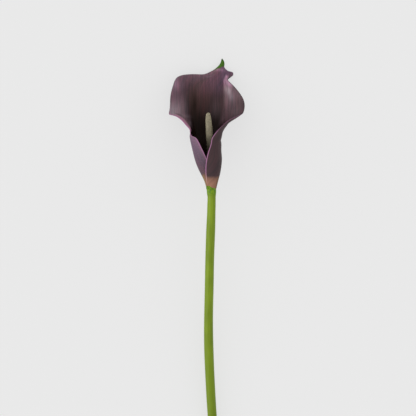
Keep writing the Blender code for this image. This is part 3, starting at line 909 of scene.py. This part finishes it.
class CALLA_OT_add_spathe(bpy.types.Operator):
    """Add the spathe: one leaf rolled into a lapped funnel, its limb flared and its rim rolled back"""

    bl_idname = "calla.add_spathe"
    bl_label = "Spathe"

    def execute(self, context):
        settings = context.scene.calla_spathe
        faces = {"x_subdivisions": settings.columns, "y_subdivisions": settings.rows}
        spathe = start_piece("spathe_leaf", bpy.ops.mesh.primitive_grid_add, size=2.0, **faces)
        flat = read_points(spathe.data)
        column = np.rint((flat[:, 0] + 1) / 2 * settings.columns).astype(int)
        row = np.rint((flat[:, 1] + 1) / 2 * settings.rows).astype(int)
        grid = leaf_surface(settings.columns, settings.rows, settings.lap_step / MM)
        marks = self.marks(grid)
        grid = self.relief(grid, marks, settings)
        place_points(spathe.data, grid[row, column])
        for name, values in marks.items():
            set_attribute(spathe.data, name, values[row, column])
        weights = self.thickness(marks, settings)[row, column]
        group = spathe.vertex_groups.new(name="thickness")
        for i, weight in enumerate(weights.tolist()):
            group.add([i], weight, "REPLACE")
        self.close_tip()
        self.thicken(spathe, settings)
        finish_piece(spathe, "spathe", spathe_material(settings))
        return {"FINISHED"}

    def marks(self, grid):
        """What the finish and the relief read: distances over the leaf, in mm, and shares."""
        rows, columns = grid.shape[:2]
        from_left, up = covered(grid, 1), covered(grid)
        middle = from_left[:, columns // 2, None]
        x, y, _ = np.moveaxis(grid, 2, 0)
        across = np.broadcast_to(np.linspace(0, 1, columns), (rows, columns))
        wave = 0.8 * np.sin(across * 23.0) + 0.5 * np.sin(across * 61.0 + 1.0)
        beyond = (y - 109.2) - 0.44 * (x - 1.0)
        turned = grid_normals(grid)[:, :, 2]
        limb = ramp(y, 62.0, 72.0) * ramp(y, 110.0, 106.0)
        # painted highlight: a light line on the crest where the rim turns over
        painted_crest_highlight = 0.45 * ramp(turned, 0.40, 0.56) * ramp(turned, 0.82, 0.66)
        right_lobe = ramp(across, 0.622, 0.674) * ramp(y, 54.0, 66.0)
        return {
            "skin": np.stack([from_left - middle, up, np.zeros_like(up)], axis=2),
            "height": y,
            "rim": np.minimum(from_left, from_left[:, -1:] - from_left),
            "violet": ramp(across, 0.46, 0.62),
            "brown": ramp(across, 0.46, 0.36),
            "left_lobe": ramp(across, 0.355, 0.20) * ramp(y, 51.0, 64.0),
            "right_lobe": right_lobe * ramp(y, 108.0, 100.0),
            # painted sheen, from its patch table
            "painted_sheen": self.patches(x, y, PAINTED_SHEEN_PATCHES),
            # painted pink highlights, from their patch table
            "painted_highlight": self.patches(x, y, PAINTED_HIGHLIGHT_PATCHES),
            # painted shade, from its patch table
            "painted_shade": self.patches(x, y, PAINTED_SHADE_PATCHES),
            "lip": ramp(across, 0.30, 0.20) * ramp(y, 49.0, 55.0) * ramp(y, 69.0, 66.0),
            # painted shade on the rim where it rolls back, from the turn of its surface
            "rolled": ramp(turned, 0.56, 0.28) * limb,
            "painted_crest_highlight": painted_crest_highlight * limb * ramp(y, 88.0, 96.0),
            # painted shade down the sides of the foot, from the turn of its surface
            "painted_side_shade": 0.9 * ramp(turned, -0.72, -0.45),
            "flap": ramp(across, 0.42, 0.20),
            "foot": ramp(y + 0.3 * wave - 4.5 * ramp(across, 0.30, 0.0), 11.6, 9.4),
            "claw": ramp(beyond, -0.3, 0.4) * ramp(x, -4.0, -1.0),
        }

    def patches(self, x, y, table):
        """Soft-edged patches added up, no stronger than 1."""
        total = np.zeros_like(x)
        for middle_x, middle_y, half_width, half_length, strength in table:
            spread = ((x - middle_x) / half_width) ** 2 + ((y - middle_y) / half_length) ** 2
            total += strength * np.exp(-spread)
        return np.minimum(total, 1.0)

    def relief(self, grid, marks, settings):
        """Lengthwise ribs, a slightly wavy rim and two pleats, pressed in along the sheet's normals."""
        rows, columns = grid.shape[:2]
        across = np.broadcast_to(np.linspace(0, 1, columns), (rows, columns))
        up = marks["skin"][:, :, 1]
        height, rim = marks["height"], marks["rim"]
        warped = across + 0.004 * np.sin(across * 19.0) + 0.003 * np.sin(up / 17.0 + across * 9.0)
        ribs = np.cos(warped * 2 * math.pi * RIBS_ACROSS) * (0.65 + 0.35 * np.sin(across * 31.0 + 0.6))
        ribs *= ramp(rim, 1.0, 5.0) * ramp(up, 2.0, 14.0) * ramp(height, 112.0, 100.0)
        wave = np.sin(up / 3.9 + 8 * across) + 0.6 * np.sin(up / 2.3 + 1.7)
        wave += 0.7 * np.sin(up / 7.1 + 3 * across)
        wave *= ramp(rim, 5.0, 0.0) * ramp(up, 30.0, 55.0) * ramp(height, 112.0, 104.0)
        right_pleat = np.exp(-np.abs(across - 0.645) / 0.028)
        right_pleat *= ramp(height, 66.0, 80.0) * ramp(height, 104.0, 98.0)
        left_pleat = np.exp(-np.abs(across - 0.355) / 0.030)
        left_pleat *= ramp(height, 46.0, 60.0) * ramp(height, 92.0, 84.0)
        pleats = settings.crease / MM * (right_pleat + 0.8 * left_pleat)
        push = settings.rib_height / MM * ribs + 0.13 * wave - pleats
        return grid + grid_normals(grid) * push[:, :, None]

    def thickness(self, marks, settings):
        """Share of the full thickness: thinner towards the edge, full again in the claw."""
        thin = settings.edge_thickness / settings.thickness
        share = thin + (1 - thin) * ramp(marks["rim"], 0.0, 9.0)
        share = share + (1.0 - share) * marks["claw"]
        return share * (0.72 + 0.28 * ramp(marks["height"], -0.5, 6.0))

    def close_tip(self):
        """Merge the last row, which has shrunk to one point."""
        bpy.ops.object.mode_set(mode="EDIT")
        bpy.ops.mesh.select_all(action="SELECT")
        bpy.ops.mesh.remove_doubles(threshold=0.01 * MM)
        bpy.ops.mesh.normals_make_consistent(inside=False)
        bpy.ops.object.mode_set(mode="OBJECT")

    def thicken(self, spathe, settings):
        """Give the sheet its thickness, tell its two sides apart, and round its edge."""
        sheet = np.array([v.co for v in spathe.data.vertices])
        normals = np.array([v.normal for v in spathe.data.vertices])
        upper = sheet[:, 1] > np.median(sheet[:, 1])
        into_funnel = np.sign(normals[upper][:, 2].mean())
        wall = spathe.modifiers.new("wall", "SOLIDIFY")
        wall.thickness = settings.thickness
        wall.offset = 0.0
        wall.vertex_group = "thickness"
        wall.use_quality_normals = True
        bpy.ops.object.modifier_apply(modifier=wall.name)
        walls = np.array([v.co for v in spathe.data.vertices])
        if len(walls) != 2 * len(sheet):
            raise RuntimeError("the spathe's wall doesn't have two matching sides")
        side = np.einsum("ij,ij->i", walls - np.tile(sheet, (2, 1)), np.tile(normals, (2, 1)))
        set_attribute(spathe.data, "outside", (side * into_funnel < 0).astype(float))
        soft = spathe.modifiers.new("soft", "SUBSURF")
        soft.levels = soft.render_levels = 1
        bpy.ops.object.modifier_apply(modifier=soft.name)
        spathe.vertex_groups.clear()


# ---------------------------------------------------------------- stage


LIT_MIDDLE = (0.0, 60.0 * MM, 0.0)  # what the key light faces, from the foot of the spathe
KEY_PLACE = (-1.7, -0.2, 1.05)  # the key light from there, in m
FARTHEST_SEEN = 60.0  # from the camera, in m


class CALLA_OT_add_stage(bpy.types.Operator):
    """Add the stage: a pale surface, soft studio light and the camera that looks straight down"""

    bl_idname = "calla.add_stage"
    bl_label = "Stage"

    def execute(self, context):
        settings = context.scene.calla_stage
        foot = Vector(foot_place() * MM)
        self.add_floor(settings)
        self.add_camera(context, settings, foot)
        self.add_key(settings, foot + Vector(LIT_MIDDLE))
        self.add_room(context, settings)
        context.scene.view_settings.view_transform = "Standard"
        return {"FINISHED"}

    def add_floor(self, settings):
        disc = {"vertices": 96, "radius": settings.floor_radius, "fill_type": "NGON"}
        floor = start_piece("pale_surface", bpy.ops.mesh.primitive_circle_add, **disc)
        floor.data.materials.append(floor_material(settings))

    def add_camera(self, context, settings, foot):
        data = bpy.data.cameras.new("view_from_above")
        data.lens = data.sensor_width * settings.camera_height / settings.frame_width
        data.clip_end = FARTHEST_SEEN
        camera = bpy.data.objects.new("view_from_above", data)
        camera.location = foot + Vector((settings.aim[0], settings.aim[1], settings.camera_height))
        context.scene.collection.objects.link(camera)
        context.scene.camera = camera

    def add_key(self, settings, target):
        """A softbox low on the left. It lights only the flower, so that the surface keeps an even tone."""
        data = bpy.data.lights.new("key_light", "AREA")
        data.energy = settings.key
        data.size = settings.key_size
        softbox = bpy.data.objects.new("key_light", data)
        softbox.location = target + Vector(KEY_PLACE)
        softbox.rotation_mode = "QUATERNION"
        softbox.rotation_quaternion = (target - softbox.location).to_track_quat("-Z", "Y")
        lit = bpy.data.collections.new("lit_by_key")
        for organ in ("stem_stalk", "spadix_spike", "spathe_leaf"):
            lit.objects.link(bpy.data.objects[organ])
        softbox.light_linking.receiver_collection = lit
        bpy.context.scene.collection.objects.link(softbox)

    def add_room(self, context, settings):
        world = bpy.data.worlds.new("room")
        world.use_nodes = True
        light = world.node_tree.nodes["Background"]
        light.inputs["Color"].default_value = (1.0, 1.0, 1.0, 1.0)
        light.inputs["Strength"].default_value = settings.room
        context.scene.world = world


class CALLA_PT_panel(bpy.types.Panel):
    """Lists the flower's organs and the stage in the sidebar"""

    bl_idname = "CALLA_PT_panel"
    bl_label = "Calla Lily Flower"
    bl_space_type = "VIEW_3D"
    bl_region_type = "UI"
    bl_category = "Calla Lily"

    def draw(self, context):
        for operator, _, settings in PARTS:
            box = self.layout.box()
            group = getattr(context.scene, settings)
            for name in group.bl_rna.properties.keys():
                if name not in ("rna_type", "name"):
                    box.prop(group, name)
            box.operator(operator.bl_idname)


# Each organ and the stage: its operator, its settings and their name in the scene
PARTS = (
    (CALLA_OT_add_stem, CallaStemSettings, "calla_stem"),
    (CALLA_OT_add_spadix, CallaSpadixSettings, "calla_spadix"),
    (CALLA_OT_add_spathe, CallaSpatheSettings, "calla_spathe"),
    (CALLA_OT_add_stage, CallaStageSettings, "calla_stage"),
)


def register():
    for operator, group, name in PARTS:
        bpy.utils.register_class(group)
        setattr(bpy.types.Scene, name, PointerProperty(type=group))
        bpy.utils.register_class(operator)
    bpy.utils.register_class(CALLA_PT_panel)


def unregister():
    bpy.utils.unregister_class(CALLA_PT_panel)
    for operator, group, name in reversed(PARTS):
        bpy.utils.unregister_class(operator)
        delattr(bpy.types.Scene, name)
        bpy.utils.unregister_class(group)


def main():
    register()
    bpy.ops.calla.add_stem()
    bpy.ops.calla.add_spadix()
    bpy.ops.calla.add_spathe()
    bpy.ops.calla.add_stage()


if __name__ == "__main__":
    main()
